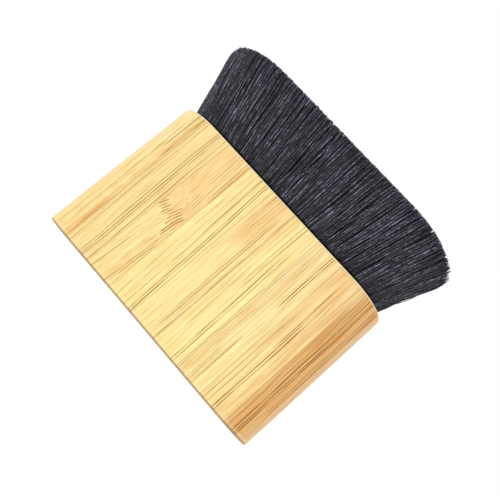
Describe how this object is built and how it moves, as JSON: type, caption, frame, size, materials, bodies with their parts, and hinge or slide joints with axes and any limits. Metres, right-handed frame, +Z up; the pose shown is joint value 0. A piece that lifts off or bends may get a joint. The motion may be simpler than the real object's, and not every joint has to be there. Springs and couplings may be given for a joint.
{
  "type": "neck duster brush",
  "caption": "Handheld neck duster with a laminated bamboo block handle and a wide flared head of soft dark bristles, cut flat at the tips.",
  "frame": {"origin": "centre of the flat base of the handle block", "axes": "+Z up out of the base towards the bristle tips, +X along the long side of the block, -Y out of the front face"},
  "size_m": [0.1044, 0.0486, 0.0826],
  "materials": {
    "bamboo_pale": "satin",
    "bamboo_honey": "satin",
    "bamboo_tan": "satin",
    "bamboo_brown": "satin",
    "socket_adhesive": "matte",
    "band_plastic": "matte",
    "set_resin": "gloss",
    "bristle_fibre": "satin"
  },
  "bodies": {
    "handle": {"strip_front_1": "bamboo_honey", "strip_front_2": "bamboo_honey", "strip_front_3": "bamboo_honey", "strip_front_4": "bamboo_pale", "strip_front_5": "bamboo_honey", "strip_front_6": "bamboo_pale", "strip_front_7": "bamboo_honey", "strip_front_8": "bamboo_tan", "strip_front_9": "bamboo_brown", "strip_midfront_1": "bamboo_honey", "strip_midfront_2": "bamboo_tan", "strip_midfront_3": "bamboo_pale", "strip_midfront_4": "bamboo_honey", "strip_midfront_5": "bamboo_brown", "strip_midfront_6": "bamboo_honey", "strip_midfront_7": "bamboo_pale", "strip_midfront_8": "bamboo_honey", "strip_midfront_9": "bamboo_tan", "strip_midfront_10": "bamboo_pale", "strip_midback_1": "bamboo_pale", "strip_midback_2": "bamboo_honey", "strip_midback_3": "bamboo_brown", "strip_midback_4": "bamboo_honey", "strip_midback_5": "bamboo_pale", "strip_midback_6": "bamboo_honey", "strip_midback_7": "bamboo_tan", "strip_midback_8": "bamboo_pale", "strip_midback_9": "bamboo_honey", "strip_back_1": "bamboo_honey", "strip_back_2": "bamboo_brown", "strip_back_3": "bamboo_honey", "strip_back_4": "bamboo_pale", "strip_back_5": "bamboo_honey", "strip_back_6": "bamboo_tan", "strip_back_7": "bamboo_pale", "strip_back_8": "bamboo_honey", "strip_back_9": "bamboo_brown", "socket_glue": "socket_adhesive", "root_band": "band_plastic", "root_plug": "set_resin", "bristle_root": "bristle_fibre"},
    "bristle_tuft": {"bristle_head": "bristle_fibre"}
  },
  "joints": [
    {"name": "bristle_sweep", "type": "hinge", "parent": "handle", "child": "bristle_tuft", "pos_m": [0, 0, 0.0618], "axis": [1, 0, 0], "range_deg": [-30, 30], "stiffness_Nm_per_rad": 0.05}
  ]
}
